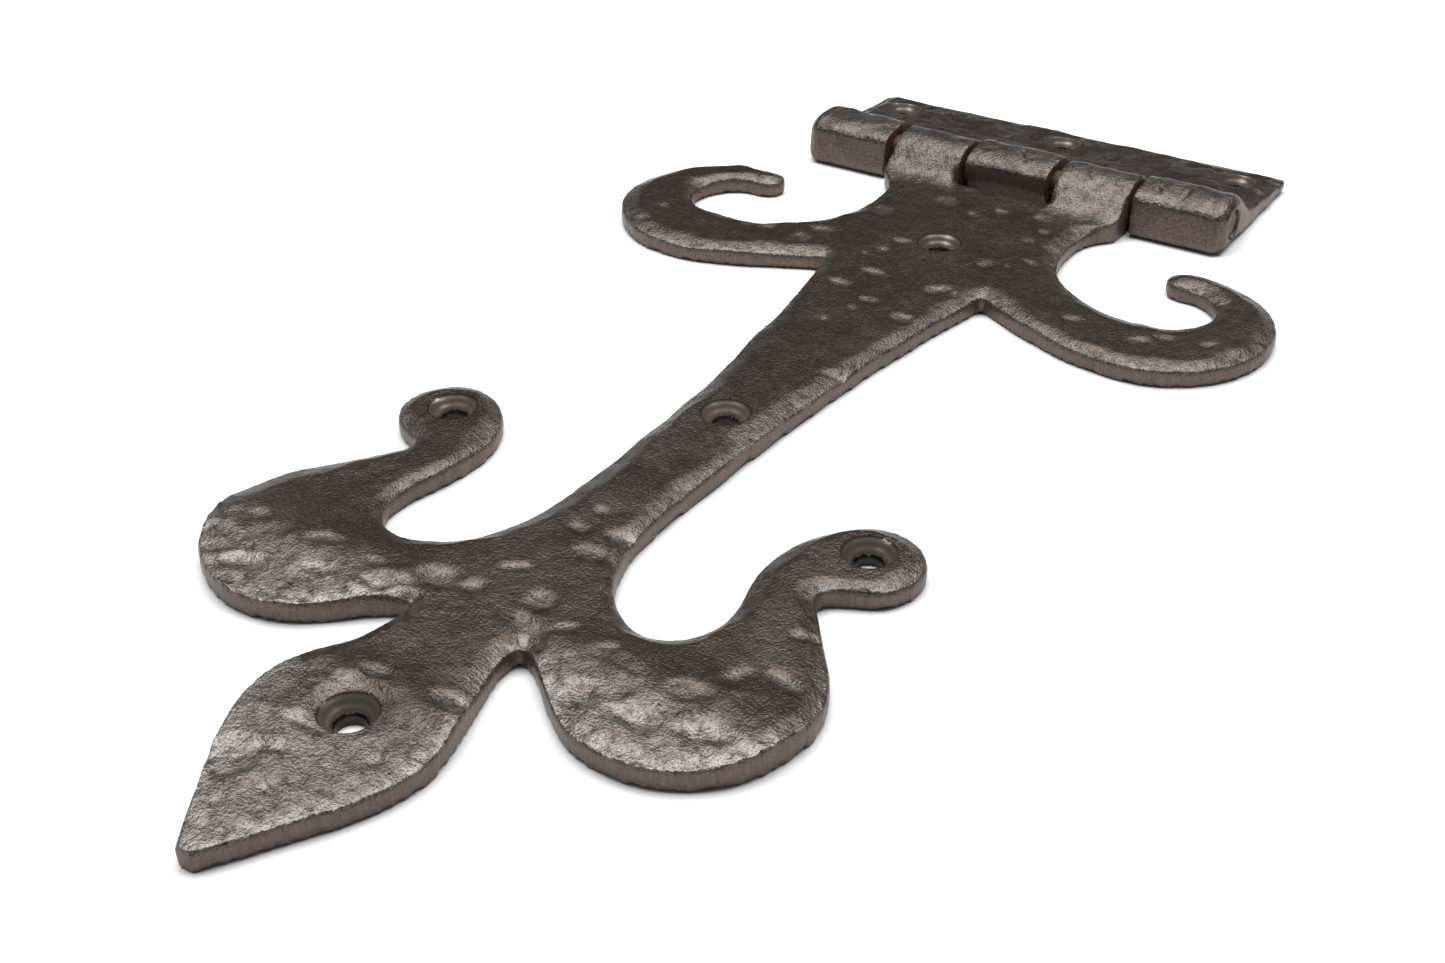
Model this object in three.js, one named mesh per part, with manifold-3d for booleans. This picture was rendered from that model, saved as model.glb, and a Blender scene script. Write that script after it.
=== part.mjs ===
// Forged fleur-de-lis strap hinge: a jamb plate, a strap and the pin they turn on.
// Millimetres, +Z up out of the back plane, which lies on z = 0.
// The origin is on the pin axis line seen from above, at the middle of the barrel.
// The plate reaches toward +Y and the strap toward -Y; the pin runs along X.
import * as THREE from 'three';
import { mergeVertices, toCreasedNormals } from 'three/addons/utils/BufferGeometryUtils.js';
import Module from 'manifold-3d';

const wasm = await Module();
wasm.setup();

// ---- Barrel: three plate knuckles with two strap knuckles between them -----------------
const BARREL_LENGTH = 124.8;    // over the two outer knuckles, and the width of the plate
const MIDDLE_KNUCKLE = 24.2;    // length of the plate's middle knuckle
const STRAP_KNUCKLE = 20.7;     // length of each strap knuckle
const KNUCKLE_GAP = 2.0;        // end float at each side of a strap knuckle
const STRAP_SHIFT = 0.9;        // the strap rests this far along its end float, toward +X
const KNUCKLE_FRONT = 8.2;      // pin axis to the flat front face of the plate knuckles
const AXIS_HEIGHT = 6.5;        // pin axis above the back plane
const CROWN = 6.7;              // pin axis to the crown of every knuckle
const SWING_CLEAR = 1.4;        // room between a knuckle and the end of the slot it turns in
const END_BREAK = 1.4;          // hammered-over edge round the ends of the barrel and plate

// ---- Pin -------------------------------------------------------------------------------
const PIN_DIAMETER = 7.8;
const PIN_TIGHT = 0.03;         // radial clearance in the plate knuckles, which hold the pin
const PIN_RUN = 0.08;           // radial clearance in the strap knuckles, which turn on it
const PIN_SET_BACK = 0.4;       // each riveted end stands this far inside the barrel
const PIN_DOME = 0.6;           // height of the hammered dome on each end
const PIN_EDGE = 0.7;           // worn edge round each dome

// ---- Jamb plate ------------------------------------------------------------------------
const PLATE_REACH = 43.8;       // pin axis to the far edge
const PLATE_EDGE = 3.9;         // thickness at the far edge
const PLATE_ROOT = 6.2;         // thickness where the plate meets the barrel
const PLATE_HOLE_Y = 32.6;      // pin axis to the row of holes
const PLATE_HOLE_INSET = 10.5;  // end of the barrel to an outer hole
const PLATE_SINK = 10.4;        // countersink diameter at the surface

// ---- Strap: section --------------------------------------------------------------------
const STRAP_THICK = 5.2;
const STRAP_WALL = 3.4;         // height of the upright side below the sloping band
const BAND_WIDTH = 2.8;         // width of the sloping band round the top
const KNUCKLE_RAMP = 18;        // pin axis to where the strap knuckles have died away
const SINK = 11.0;              // countersink diameter at the surface
const SCREW_HOLE = 5.8;
const SINK_DEPTH = 3.0;

// ---- Strap: outline, half widths and distances from the pin axis ------------------------
const STRAP_REACH = 306;        // pin axis to the point
const NECK_HALF = 28.6;
const HOOK_X = 62.3;            // middle of each scroll's eye
const HOOK_Y = 48.4;
const HOOK_R = 11.6;            // radius of the scroll's eye
const SCROLL_ROOT = 22;         // width of the scroll band under its eye
const SCROLL_TIP = 8.6;         // width of the scroll band at its end
const SCROLL_END = 96;          // direction of the end from the eye, degrees
const BAY_R = 29;               // rounding between the neck and the scroll
const CROTCH = 68;              // pin axis to the crotch under each scroll
const CROTCH_HALF = 21.8;
const WAIST_HALF = 10.3;
const WAIST_RISE = 120;         // point up to the middle of the waist
const LOBE_X = 43;              // belly of each side lobe
const LOBE_RISE = 78;
const LOBE_R = 25.2;
const EYE_X = 53;               // upper end of each side lobe
const EYE_RISE = 126.4;
const EYE_R = 11;
const LOBE_BAY = 10;            // rounding between strap and lobe, lobe side
const LOBE_BAY_X = 29.8;
const LOBE_BAY_RISE = 94.4;
const LEAF_HALF = 19.6;
const LEAF_RISE = 37;           // point up to the widest part of the leaf
const TIP_HALF = 1.8;           // the point is blunted to this half width
const LEAF_ROOT_HALF = 12.2;
const LEAF_ROOT_RISE = 68.4;    // point up to the crotch between leaf and lobe
const NECK_HOLE = 47.4;         // holes, measured from the pin axis or up from the point
const MID_HOLE_RISE = 157;
const TIP_HOLE_RISE = 38;
const LOBE_HOLE_X = 52.2;
const LOBE_HOLE_RISE = 127.2;

const IRON = { color: 0x4c3f38, roughness: 0.55, metalness: 0.6 };
const PIN_IRON = { color: 0x54382a, roughness: 0.75, metalness: 0.4 };

// ---- Helpers ---------------------------------------------------------------------------
const rad = THREE.MathUtils.degToRad;

function solid(geometry) {
  const g = geometry.clone();
  g.deleteAttribute('normal');
  g.deleteAttribute('uv');
  const m = mergeVertices(g, 1e-4);
  return new wasm.Manifold(new wasm.Mesh({
    numProp: 3,
    vertProperties: new Float32Array(m.attributes.position.array),
    triVerts: new Uint32Array(m.index.array),
  }));
}

function meshOf(name, body, look) {
  const out = body.getMesh();
  const g = new THREE.BufferGeometry();
  g.setAttribute('position', new THREE.BufferAttribute(out.vertProperties, 3));
  g.setIndex(new THREE.BufferAttribute(out.triVerts, 1));
  const mesh = new THREE.Mesh(toCreasedNormals(g, rad(30)), new THREE.MeshStandardMaterial(look));
  mesh.name = name;
  return mesh;
}

// Points along an arc, centre (x, y), from one direction to the other in degrees.
function arc(x, y, rx, ry, from, to, n) {
  return Array.from({ length: n + 1 }, (_, i) => {
    const a = rad(from + (to - from) * i / n);
    return new THREE.Vector2(x + rx * Math.cos(a), y + ry * Math.sin(a));
  });
}

// Points along a cubic curve between two ends with two handles.
function bend(x0, y0, x1, y1, x2, y2, x3, y3, n) {
  const v = (x, y) => new THREE.Vector2(x, y);
  return new THREE.CubicBezierCurve(v(x0, y0), v(x1, y1), v(x2, y2), v(x3, y3)).getPoints(n);
}

// A bar along X between two stations, with its (y, z) section given as points and its end
// edges broken by the given amount.
function barAlongX(section, x0, x1, broken = 0) {
  const g = new THREE.ExtrudeGeometry(new THREE.Shape(section), {
    depth: x1 - x0 - 2 * broken, bevelEnabled: broken > 0, bevelThickness: broken,
    bevelSize: broken * 0.8, bevelOffset: -broken * 0.8, bevelSegments: 2,
  });
  const alongX = new THREE.Matrix4().set(0, 0, 1, x0 + broken, 1, 0, 0, 0, 0, 1, 0, 0, 0, 0, 0, 1);
  return solid(g.applyMatrix4(alongX));
}

function block(x0, x1, y0, y1, z0, z1) {
  const g = new THREE.BoxGeometry(x1 - x0, y1 - y0, z1 - z0);
  g.translate((x0 + x1) / 2, (y0 + y1) / 2, (z0 + z1) / 2);
  return solid(g);
}

// A round rod along X on the pin axis, used for the bores.
function rodOnAxis(radius, x0, x1) {
  const g = new THREE.CylinderGeometry(radius, radius, x1 - x0, 48);
  g.rotateZ(Math.PI / 2).translate((x0 + x1) / 2, 0, AXIS_HEIGHT);
  return solid(g);
}

// The cutter for one countersunk screw hole whose rim lies at the given height.
function sunkHole(x, y, rim, sinkDiameter) {
  const slope = (sinkDiameter - SCREW_HOLE) / 2 / SINK_DEPTH;
  const over = 4;
  const g = new THREE.LatheGeometry([
    new THREE.Vector2(0, -over),
    new THREE.Vector2(SCREW_HOLE / 2, -over),
    new THREE.Vector2(SCREW_HOLE / 2, rim - SINK_DEPTH),
    new THREE.Vector2(sinkDiameter / 2 + over * slope, rim + over),
    new THREE.Vector2(0, rim + over),
  ], 40);
  g.rotateX(Math.PI / 2).translate(x, y, 0);
  return solid(g);
}

// ---- Jamb plate ------------------------------------------------------------------------
const barrelEnd = BARREL_LENGTH / 2;
const pinRadius = PIN_DIAMETER / 2;
const slotEnd = KNUCKLE_FRONT + SWING_CLEAR;
const top = AXIS_HEIGHT + CROWN;
const knuckleX = MIDDLE_KNUCKLE / 2 + KNUCKLE_GAP;       // inner end of a centred strap knuckle
const strapHalf = knuckleX + STRAP_KNUCKLE;              // outer end of a centred strap knuckle

function plateTop(y) {
  const root = slotEnd + SWING_CLEAR * 2;
  const t = THREE.MathUtils.clamp((y - root) / (PLATE_REACH - root), 0, 1);
  return PLATE_ROOT + (PLATE_EDGE - PLATE_ROOT) * t;
}

function buildPlate() {
  const root = slotEnd + SWING_CLEAR * 2;
  const section = [
    ...bend(-KNUCKLE_FRONT, 2.2, -KNUCKLE_FRONT, 0.7, -KNUCKLE_FRONT + 0.8, 0, -KNUCKLE_FRONT + 2.4, 0, 4),
    new THREE.Vector2(PLATE_REACH, 0),
    new THREE.Vector2(PLATE_REACH, PLATE_EDGE - 1),
    new THREE.Vector2(PLATE_REACH - 1.6, plateTop(PLATE_REACH - 1.6)),
    new THREE.Vector2(root + 1.5, plateTop(root + 1.5)),
    ...bend(root, PLATE_ROOT + 0.2, root - 3.6, PLATE_ROOT + 3.6, root - 5.2, top, 2.5, top, 8),
    ...bend(1, top, -3.2, top, -6.2, top - 1.4, -KNUCKLE_FRONT + 0.9, AXIS_HEIGHT + 3.6, 6),
  ];
  let body = barAlongX(section, -barrelEnd, barrelEnd, END_BREAK);
  for (const side of [-1, 1]) {
    const inner = knuckleX - KNUCKLE_GAP;
    const outer = strapHalf + KNUCKLE_GAP;
    const [x0, x1] = side < 0 ? [-outer, -inner] : [inner, outer];
    body = body.subtract(block(x0, x1, -KNUCKLE_FRONT - 2, slotEnd, -1, top + 1));
    body = body.subtract(block(x0, x1, slotEnd - 1, root + 0.5, PLATE_ROOT, top + 1));
  }
  body = body.subtract(rodOnAxis(pinRadius + PIN_TIGHT, -barrelEnd - 1, barrelEnd + 1));
  const holeX = barrelEnd - PLATE_HOLE_INSET;
  for (const x of [-holeX, 0, holeX]) {
    body = body.subtract(sunkHole(x, PLATE_HOLE_Y, plateTop(PLATE_HOLE_Y), PLATE_SINK));
  }
  return meshOf('jamb_plate', body, IRON);
}

// ---- Strap -----------------------------------------------------------------------------
// The right-hand half of the outline from the shoulder behind the barrel to the point.
function halfOutline() {
  const y = (rise) => rise - STRAP_REACH;
  const eyeBottom = -HOOK_Y - HOOK_R;
  const bayY = eyeBottom + BAY_R;
  const lobeBayEnd = y(LOBE_BAY_RISE);
  const bandAt = (deg) => SCROLL_TIP + (SCROLL_ROOT - SCROLL_TIP)
    * (1 - THREE.MathUtils.smoothstep(deg, -90, 90));
  const outer = Array.from({ length: 19 }, (_, i) => {
    const deg = SCROLL_END + (-90 - SCROLL_END) * i / 18;
    const r = HOOK_R + bandAt(deg);
    return new THREE.Vector2(HOOK_X + r * Math.cos(rad(deg)), -HOOK_Y + r * Math.sin(rad(deg)));
  });
  const endR = SCROLL_TIP / 2;
  const endX = HOOK_X + (HOOK_R + endR) * Math.cos(rad(SCROLL_END));
  const endY = -HOOK_Y + (HOOK_R + endR) * Math.sin(rad(SCROLL_END));
  const shoulder = slotEnd + 3.4;
  const waist = y(WAIST_RISE);
  const flare = waist - 4;
  const lobeNeck = LOBE_BAY_X + LOBE_BAY;
  const lobeNeckY = y(EYE_RISE) - 10.2;
  const scrollRoot = eyeBottom - SCROLL_ROOT;
  return [
    new THREE.Vector2(strapHalf, -slotEnd + 1),
    new THREE.Vector2(strapHalf, -shoulder),
    ...bend(strapHalf - 3.4, -shoulder - 4, NECK_HALF + 1, -shoulder - 6, NECK_HALF, -shoulder - 10,
      NECK_HALF, Math.min(bayY, -shoulder - 12), 5),
    ...arc(NECK_HALF + BAY_R, bayY, BAY_R, BAY_R, 187, 270, 11),
    ...arc(HOOK_X, -HOOK_Y, HOOK_R, HOOK_R, -82, SCROLL_END, 16),
    ...arc(endX, endY, endR, endR, SCROLL_END + 150, SCROLL_END + 30, 5),
    ...outer,
    ...bend(HOOK_X - 1, scrollRoot, HOOK_X * 0.77, scrollRoot, HOOK_X * 0.58, -CROTCH - 6.7,
      CROTCH_HALF + 0.6, -CROTCH, 8).slice(1),
    ...bend(CROTCH_HALF - 0.3, -CROTCH - 1.4, 15, -CROTCH - 33, WAIST_HALF, waist + 42,
      WAIST_HALF, waist, 10),
    ...arc(LOBE_BAY_X, flare, LOBE_BAY_X - WAIST_HALF, flare - lobeBayEnd + LOBE_BAY, 180, 270, 11),
    ...arc(LOBE_BAY_X, lobeBayEnd, LOBE_BAY, LOBE_BAY, -80, 0, 5),
    ...bend(lobeNeck, lobeBayEnd + 1, lobeNeck, lobeBayEnd + 8.6, lobeNeck - 3.2, lobeNeckY - 10,
      EYE_X - 16.3, lobeNeckY, 6).slice(1),
    ...arc(EYE_X, lobeNeckY, 16.3, y(EYE_RISE) + EYE_R - lobeNeckY, 172, 90, 8),
    ...arc(EYE_X, y(EYE_RISE), EYE_R, EYE_R, 78, -65, 11),
    ...bend(EYE_X - 0.2, y(EYE_RISE) - EYE_R - 1.2, EYE_X - 2.6, y(EYE_RISE) - EYE_R - 2.2,
      EYE_X - 4.4, y(EYE_RISE) - EYE_R - 4.8, EYE_X - 0.7, y(EYE_RISE) - EYE_R - 8.2, 5),
    ...arc(LOBE_X, y(LOBE_RISE), LOBE_R, LOBE_R, 35, -130, 20),
    ...bend(LOBE_X * 0.56, y(LOBE_RISE) - 17, LOBE_X * 0.5, y(LOBE_RISE) - 14.2,
      LOBE_X * 0.4, y(LOBE_RISE) - 10.2, LEAF_ROOT_HALF + 0.6, y(LEAF_ROOT_RISE) + 0.6, 4),
    ...bend(LEAF_ROOT_HALF, y(LEAF_ROOT_RISE) - 0.8, LEAF_ROOT_HALF - 1, y(LEAF_ROOT_RISE) - 9.5,
      LEAF_HALF - 0.8, y(LEAF_RISE) + 11, LEAF_HALF, y(LEAF_RISE), 8),
    ...bend(LEAF_HALF, y(LEAF_RISE), LEAF_HALF, y(LEAF_RISE) - 12, LEAF_HALF * 0.5, y(LEAF_RISE * 0.38),
      TIP_HALF, y(0), 8).slice(1),
  ];
}

function buildStrap() {
  const right = halfOutline();
  const left = right.map((p) => new THREE.Vector2(-p.x, p.y)).reverse();
  const outline = [...right, ...left].reverse();
  const rise = STRAP_THICK - STRAP_WALL;
  const leafGeometry = new THREE.ExtrudeGeometry(new THREE.Shape(outline), {
    depth: STRAP_WALL, bevelEnabled: true, bevelThickness: rise, bevelSize: BAND_WIDTH,
    bevelOffset: -BAND_WIDTH, bevelSegments: 1,
  });
  let body = solid(leafGeometry);
  const wide = HOOK_X + HOOK_R + SCROLL_ROOT + 50;
  body = body.subtract(block(-wide, wide, -STRAP_REACH - 50, 50, -rise - 1, 0));

  const back = KNUCKLE_FRONT - 0.2;
  const section = [
    new THREE.Vector2(-KNUCKLE_RAMP, 0),
    new THREE.Vector2(0, 0),
    ...bend(0.5, 0.02, 4.6, 0.1, back - 0.6, 2.6, back - 0.2, AXIS_HEIGHT - 0.5, 6),
    ...bend(back, AXIS_HEIGHT + 1.5, back, top - 3.4, back - 3, top, 1.5, top, 7),
    ...bend(0, top, -5, top, -7.4, top - 2.6, -slotEnd, STRAP_THICK + 3.2, 6),
    ...bend(-slotEnd - 1, STRAP_THICK + 2.3, -slotEnd - 3.2, STRAP_THICK + 0.6,
      -KNUCKLE_RAMP + 4, STRAP_THICK + 0.1, -KNUCKLE_RAMP, STRAP_THICK - 0.1, 4),
  ];
  const shoulder = slotEnd + 3.4;
  for (const side of [-1, 1]) {
    const [x0, x1] = side < 0 ? [-strapHalf, -knuckleX] : [knuckleX, strapHalf];
    let knuckle = barAlongX(section, x0, x1);
    const corner = new THREE.Shape([
      new THREE.Vector2(side * (strapHalf + 1), -shoulder),
      new THREE.Vector2(side * strapHalf, -shoulder),
      new THREE.Vector2(side * (strapHalf - 3.4), -shoulder - 4),
      new THREE.Vector2(side * (NECK_HALF + 0.3), -KNUCKLE_RAMP),
      new THREE.Vector2(side * (NECK_HALF + 0.3), -KNUCKLE_RAMP - 1),
      new THREE.Vector2(side * (strapHalf + 1), -KNUCKLE_RAMP - 1),
    ]);
    const cutter = new THREE.ExtrudeGeometry(corner, { depth: top + 2, bevelEnabled: false });
    knuckle = knuckle.subtract(solid(cutter.translate(0, 0, -1)));
    const inside = new THREE.Shape([
      new THREE.Vector2(side * (knuckleX - 1), STRAP_THICK - 0.6),
      new THREE.Vector2(side * (knuckleX - 1), top + 1),
      new THREE.Vector2(side * (knuckleX + 8), top + 1),
    ]);
    const slope = new THREE.ExtrudeGeometry(inside, { depth: KNUCKLE_RAMP, bevelEnabled: false });
    knuckle = knuckle.subtract(solid(slope.rotateX(Math.PI / 2).translate(0, -slotEnd, 0)));
    body = body.add(knuckle);
  }
  body = body.subtract(block(-knuckleX, knuckleX, -slotEnd, back + 1, -1, top + 1));
  body = body.subtract(rodOnAxis(pinRadius + PIN_RUN, -strapHalf - 1, strapHalf + 1));

  const fromPoint = (rise) => rise - STRAP_REACH;
  const holes = [
    [0, -NECK_HOLE], [0, fromPoint(MID_HOLE_RISE)], [0, fromPoint(TIP_HOLE_RISE)],
    [-LOBE_HOLE_X, fromPoint(LOBE_HOLE_RISE)], [LOBE_HOLE_X, fromPoint(LOBE_HOLE_RISE)],
  ];
  for (const [x, y] of holes) body = body.subtract(sunkHole(x, y, STRAP_THICK, SINK));
  const mesh = meshOf('strap', body, IRON);
  mesh.geometry.translate(STRAP_SHIFT, 0, 0);
  return mesh;
}

// ---- Pin -------------------------------------------------------------------------------
function buildPin() {
  const half = barrelEnd - PIN_SET_BACK;
  const dome = (sign) => Array.from({ length: 4 }, (_, i) => {
    const r = (pinRadius - PIN_EDGE) * i / 3;
    return new THREE.Vector2(r, sign * (half - PIN_DOME * (r / pinRadius) ** 2));
  });
  const edge = half - PIN_DOME - 0.2;
  const profile = [
    ...dome(-1),
    new THREE.Vector2(pinRadius, -edge),
    new THREE.Vector2(pinRadius, edge),
    ...dome(1).reverse(),
  ];
  const g = new THREE.LatheGeometry(profile, 48);
  g.rotateZ(-Math.PI / 2).translate(0, 0, AXIS_HEIGHT);
  return meshOf('hinge_pin', solid(g), PIN_IRON);
}

const hinge = new THREE.Group();
hinge.name = 'strap_hinge';
hinge.add(buildPlate(), buildStrap(), buildPin());

export default hinge;
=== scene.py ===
"""Forged fleur-de-lis strap hinge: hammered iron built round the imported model, in metres."""
import math

import bmesh
import bpy
import numpy as np
from bpy.props import FloatProperty, FloatVectorProperty, IntProperty, PointerProperty
from bpy.types import Operator, Panel, PropertyGroup
from mathutils import Matrix, Vector, kdtree, noise


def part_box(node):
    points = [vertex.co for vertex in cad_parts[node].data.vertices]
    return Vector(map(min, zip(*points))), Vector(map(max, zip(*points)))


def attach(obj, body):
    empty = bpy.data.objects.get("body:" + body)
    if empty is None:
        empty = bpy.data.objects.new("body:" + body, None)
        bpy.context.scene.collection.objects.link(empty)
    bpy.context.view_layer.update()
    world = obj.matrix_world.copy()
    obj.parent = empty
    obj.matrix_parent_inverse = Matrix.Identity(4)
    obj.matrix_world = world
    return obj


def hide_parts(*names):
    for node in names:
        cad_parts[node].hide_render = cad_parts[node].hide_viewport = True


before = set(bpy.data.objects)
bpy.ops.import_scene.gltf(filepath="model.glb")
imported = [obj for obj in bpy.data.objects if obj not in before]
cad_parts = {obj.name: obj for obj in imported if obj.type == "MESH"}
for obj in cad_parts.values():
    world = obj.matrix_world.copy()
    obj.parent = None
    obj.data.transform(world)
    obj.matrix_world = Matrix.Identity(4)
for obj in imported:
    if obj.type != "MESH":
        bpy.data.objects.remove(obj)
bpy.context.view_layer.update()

bl_info = {
    "name": "Forged Strap Hinge",
    "version": (1, 0, 0),
    "blender": (4, 5, 0),
    "location": "View3D > Sidebar > Strap Hinge",
    "description": "Builds a hammered fleur-de-lis strap hinge round its packed model",
    "category": "Object",
}

MM = 0.001

# Sizes of the CAD part that the looks line up with, in millimetres.
AXIS_HEIGHT = 6.5
BLADE_TOP = 5.2
WALL_TOP = 3.4
BLADE_START = -18.0             # y where the strap's flat blade begins
STRAP_X = 0.9                   # the strap rests this far to the right
STRAP_HOLES = ((0.0, -47.4), (0.0, -149.0), (0.0, -268.0), (-52.2, -178.8), (52.2, -178.8))
PLATE_HOLES = ((-51.9, 32.6), (0.0, 32.6), (51.9, 32.6))
SINK_RADIUS = 5.5
PLATE_SINK_RADIUS = 5.2
PLATE_RIM = 4.74                # height of the plate's top at its row of holes
SINK_DEPTH = 3.0
SCREW_RADIUS = 2.9
LOBE_TOP = (-222, -236)         # y where the crumpling of the lobes fades in, from and to
LOBE_END = (-262, -256)         # y where it fades out again
LOBE_SIDE = (12, 20)            # and how far from the middle it fades in
LEAF_START = (-250, -262)       # y where the leaf begins
LEAF_FACET_Y = -262             # where the hammered facet of the leaf begins
LEAF_NICK = (13, -295, 3, 2.4)  # nick in the leaf's edge: x, y, half length, half width
RING_MARK = (-4, -171, 2.6)     # faint rusty ring: x, y, radius

# Fixed tones of the iron, with the pale tone of rubbed iron and painted highlight, and the painted
# shade of the bores.
# Pale tone of rubbed iron, also used for a painted highlight on the front slopes of the lobes and
# the leaf.
WEAR_AND_HIGHLIGHT_TONE = (0.240, 0.218, 0.200)
FLECK_TONE = (0.20, 0.175, 0.155)
PIT_TONE = (0.016, 0.011, 0.009)
RIM_TONE = (0.012, 0.008, 0.006)
# Near-black painted shade on the walls of the screw bores.
BORE_SHADE_TONE = (0.006, 0.005, 0.004)
RIM_LINE = (0.00555, 0.00022)   # dark line round a countersink: radius, softness, in metres
TURNING_PITCH = 5600.0          # tool rings in a countersink, radians per metre

# Stage, in metres and degrees.
FLOOR_SIZE = 6.0
FLOOR_DROP = 0.0003             # keeps the floor clear of the flat backs
STAGE_CENTRE = (0.0, -0.13, 0.0)
LAMP_PLACE = (-0.10, 0.02, 1.05)
LAMP_DEPTH = 0.9
BACKDROP = 0.95                 # tone behind the floor
CAMERA_PLACE = (0.1837, -0.42922, 0.20287)
CAMERA_TURN, CAMERA_LIFT, CAMERA_ROLL = 33.27, 32.81, -0.62
CAMERA_LENS, CAMERA_SENSOR = 44.36, 36.0

# Hammer marks on the strap: x, y, half length, half width, turn in degrees, depth, in mm.
MARKS = (
    (-48.9, -63.1, 2.2, 1.5, 20, 0.30), (-43.3, -62.5, 2.8, 1.8, 15, 0.35),
    (-73.5, -65.6, 1.8, 1.5, 0, 0.25), (-73.9, -74.4, 2.2, 1.6, 30, 0.25),
    (-29.5, -56.3, 3.6, 1.9, 20, 0.35), (-32.0, -63.5, 3.0, 2.4, 0, 0.30),
    (-10.1, -59.1, 2.0, 1.8, 20, 0.35), (-13.3, -62.8, 1.2, 1.0, 0, 0.22),
    (-5.8, -71.3, 4.0, 1.7, -5, 0.38), (-10.1, -81.0, 3.6, 1.8, -5, 0.38),
    (11.8, -71.9, 3.8, 2.0, 38, 0.42), (16.5, -71.9, 1.6, 1.5, 0, 0.28),
    (11.8, -89.8, 2.8, 2.2, 0, 0.42), (0.3, -85.6, 3.0, 1.7, 10, 0.30),
    (-0.8, -91.3, 1.6, 1.4, 0, 0.22), (-3.8, -99.4, 1.3, 1.3, 0, 0.22),
    (11.4, -121.3, 3.4, 1.5, 25, 0.34), (15.8, -53.1, 2.4, 1.6, 25, 0.30),
    (20.9, -51.0, 1.2, 1.0, 0, 0.20), (19.3, -35.0, 2.0, 1.8, 0, 0.32),
    (26.0, -35.6, 2.0, 1.8, 0, 0.28), (25.1, -46.3, 2.4, 1.2, -20, 0.28),
    (20.5, -27.5, 2.2, 1.6, 0, 0.26), (5.3, -21.9, 2.6, 1.6, 0, 0.28),
    (-0.1, -27.1, 2.2, 1.7, 0, 0.26), (-10.1, -23.1, 3.6, 3.0, 0, 0.26),
    (16.8, -19.5, 3.4, 2.6, 0, 0.30), (-8.2, -51.4, 3.4, 1.6, 20, 0.36),
    (-22.0, -37.5, 3.6, 3.2, 0, 0.20), (46.8, -68.8, 3.2, 1.4, 8, 0.34),
    (64.0, -70.6, 2.8, 1.9, 42, 0.40), (68.6, -66.3, 3.0, 1.5, 20, 0.34),
    (74.5, -40.6, 1.5, 1.3, 0, 0.28), (78.5, -64.5, 2.6, 1.5, 30, 0.32),
    (0.0, -194.8, 2.0, 1.6, 10, 0.28), (-0.5, -201.7, 2.6, 1.6, 0, 0.28),
    (9.4, -200.3, 4.2, 2.8, 0, 0.42), (7.2, -207.6, 4.4, 2.4, 0, 0.36),
    (-2.2, -218.9, 3.6, 1.6, 28, 0.36), (8.1, -225.3, 3.2, 3.2, 0, 0.42),
    (12.4, -233.6, 6.6, 2.8, -28, 0.55), (17.2, -229.6, 3.4, 1.8, 40, 0.42),
    (27.4, -231.7, 3.4, 2.0, 60, 0.40), (50.9, -224.4, 3.2, 1.9, 62, 0.38),
    (46.1, -232.8, 4.8, 2.6, 15, 0.48), (55.5, -207.8, 3.4, 1.8, 20, 0.40),
    (58.8, -221.4, 4.4, 2.0, -15, 0.44), (29.8, -243.0, 3.0, 3.6, 0, 0.55),
    (41.0, -243.5, 5.6, 2.2, 12, 0.46), (54.5, -240.0, 6.0, 2.6, 18, 0.48),
    (-39.4, -232.2, 4.2, 2.0, 22, 0.42), (-56.7, -232.8, 3.0, 1.9, 10, 0.36),
    (-26.0, -232.8, 3.0, 1.6, 10, 0.34), (-12.8, -229.6, 5.0, 3.6, 10, 0.55),
    (-5.5, -228.4, 3.0, 2.0, 40, 0.36), (-48.3, -245.2, 5.2, 2.6, 20, 0.55),
    (-33.6, -239.6, 4.4, 1.8, 12, 0.44), (-20.4, -236.0, 5.2, 2.4, 28, 0.46),
    (-3.3, -257.8, 4.0, 1.7, 12, 0.42), (-5.5, -262.2, 3.6, 1.7, 18, 0.40),
    (-3.6, -274.3, 4.4, 1.8, 6, 0.42), (1.7, -289.4, 2.6, 1.1, -4, 0.30),
    (12.2, -274.4, 1.6, 1.4, 0, 0.26), (12.8, -256.7, 4.6, 2.4, 0, 0.44),
    (-8.6, -286.4, 4.6, 5.0, 20, 0.60), (-5.0, -281.6, 3.0, 1.6, 10, 0.40),
    (-64.5, -42.5, 4.6, 1.6, 35, 0.34), (63.6, -37.4, 4.0, 1.1, 8, 0.34),
)

# Cracks over the plate knuckles: x at the back, x at the front, from y, to y.
CRACKS = ((39.6, 43.4, 7.0, -5.0), (50.6, 48.8, 4.0, -6.0), (0.6, 4.6, 3.0, -4.5))


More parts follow.
